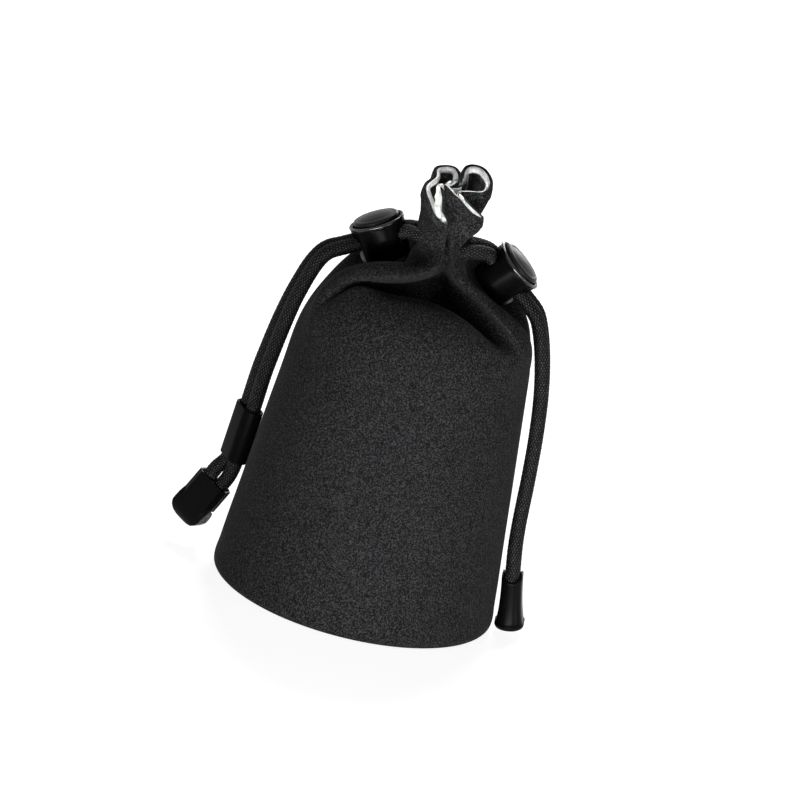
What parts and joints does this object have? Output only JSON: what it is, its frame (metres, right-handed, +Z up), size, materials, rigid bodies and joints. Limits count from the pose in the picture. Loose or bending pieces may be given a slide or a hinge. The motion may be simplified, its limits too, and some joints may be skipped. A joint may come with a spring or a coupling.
{
  "type": "lens pouch",
  "caption": "Padded drawstring pouch with a round base, gathered mouth, spring cord locks and dressed cord ends.",
  "frame": {"origin": "centre of the base's underside, without the cord tails and what is on them", "axes": "+Z up along the pouch, +X from the clip's side to the bell's side, -Y towards the front"},
  "size_m": [0.1188, 0.0914, 0.1435],
  "materials": {
    "softshell_cloth": "charcoal softshell cloth with a fine dull speckle",
    "foam": "dark grey foam, hidden between cloth and lining",
    "plush_lining": "light grey short plush",
    "seam_tape": "black woven tape",
    "braided_cord": "black braided polyester with a slight sheen",
    "lock_plastic": "black moulded plastic, satin gloss",
    "button_plastic": "black moulded plastic, satin gloss",
    "spring_steel": "drawn steel wire",
    "sleeve_plastic": "black soft plastic, fine matt",
    "end_plastic": "black moulded plastic, satin gloss"
  },
  "bodies": {
    "pouch": {"outer_wall": "softshell_cloth", "wall_padding": "foam", "wall_lining": "plush_lining", "base_outer": "softshell_cloth", "base_padding": "foam", "base_lining": "plush_lining", "base_seam_tape": "seam_tape", "channel_cord_front": "braided_cord", "channel_cord_back": "braided_cord", "left_cord_front": "braided_cord", "left_cord_back": "braided_cord", "right_cord_front": "braided_cord", "right_cord_back": "braided_cord", "cord_sleeve": "sleeve_plastic", "clip_base": "end_plastic", "clip_pin": "spring_steel", "bell_end": "end_plastic"},
    "left_lock": {"left_lock_barrel": "lock_plastic", "left_lock_spring": "spring_steel"},
    "left_button": {"left_lock_button": "button_plastic"},
    "right_lock": {"right_lock_barrel": "lock_plastic", "right_lock_spring": "spring_steel"},
    "right_button": {"right_lock_button": "button_plastic"},
    "clip_lid": {"clip_lid": "end_plastic"}
  },
  "joints": [
    {"name": "left_lock_slide", "type": "slide", "parent": "pouch", "child": "left_lock", "axis": [-0.8746, 0, -0.4848], "range_m": [0, 0.005]},
    {"name": "right_lock_slide", "type": "slide", "parent": "pouch", "child": "right_lock", "axis": [0.7771, 0, -0.6293], "range_m": [0, 0.005]},
    {"name": "left_button_press", "type": "slide", "parent": "left_lock", "child": "left_button", "axis": [0.4848, 0, -0.8746], "range_m": [0, 0.0018], "stiffness_N_per_m": 400, "springref_m": -0.002, "deforming": ["left_lock_spring"]},
    {"name": "right_button_press", "type": "slide", "parent": "right_lock", "child": "right_button", "axis": [-0.6293, 0, -0.7771], "range_m": [0, 0.0018], "stiffness_N_per_m": 400, "springref_m": -0.002, "deforming": ["right_lock_spring"]},
    {"name": "clip_lid_hinge", "type": "hinge", "parent": "pouch", "child": "clip_lid", "pos_m": [-0.05627, 0.01, 0.0113], "axis": [0.8173, -0.4226, -0.3916], "range_deg": [0, 75]}
  ]
}
